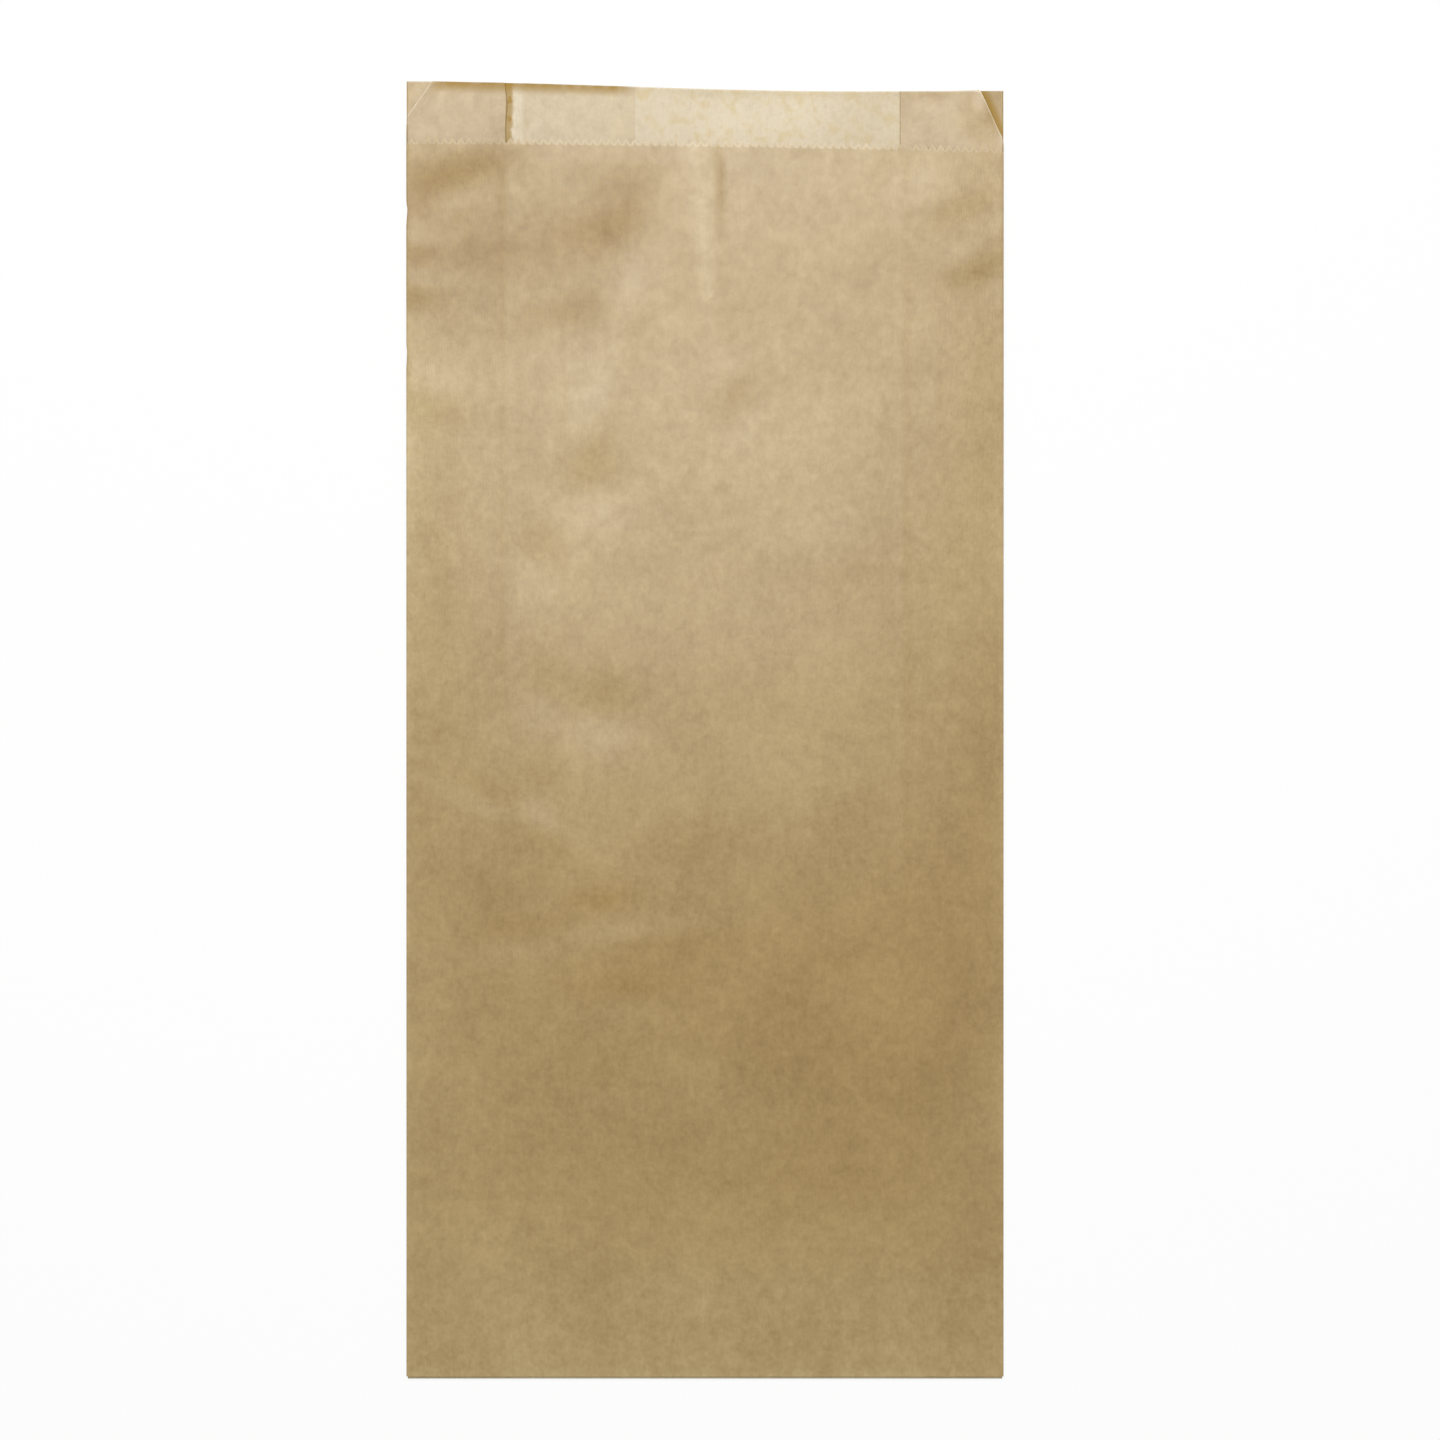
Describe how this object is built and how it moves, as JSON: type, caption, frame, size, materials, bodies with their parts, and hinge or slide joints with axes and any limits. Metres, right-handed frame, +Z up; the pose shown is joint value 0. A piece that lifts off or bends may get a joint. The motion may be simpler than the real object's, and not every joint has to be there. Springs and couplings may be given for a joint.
{
  "type": "flat paper bag",
  "caption": "Flat brown kraft paper takeaway bag with side gussets, a lapped back seam, a back lip past a toothed mouth edge and a folded, pasted bottom.",
  "frame": {"origin": "on the surface that the bag lies on, below the middle of its outline", "axes": "+Y from the folded bottom to the mouth, +Z up from the back panel to the front panel, +X to the right as the front is seen with the mouth at the top"},
  "size_m": [0.15, 0.326, 0.0065],
  "materials": {
    "kraft_paper": "matte"
  },
  "bodies": {
    "root": {"paper_bag": "kraft_paper"}
  },
  "joints": []
}
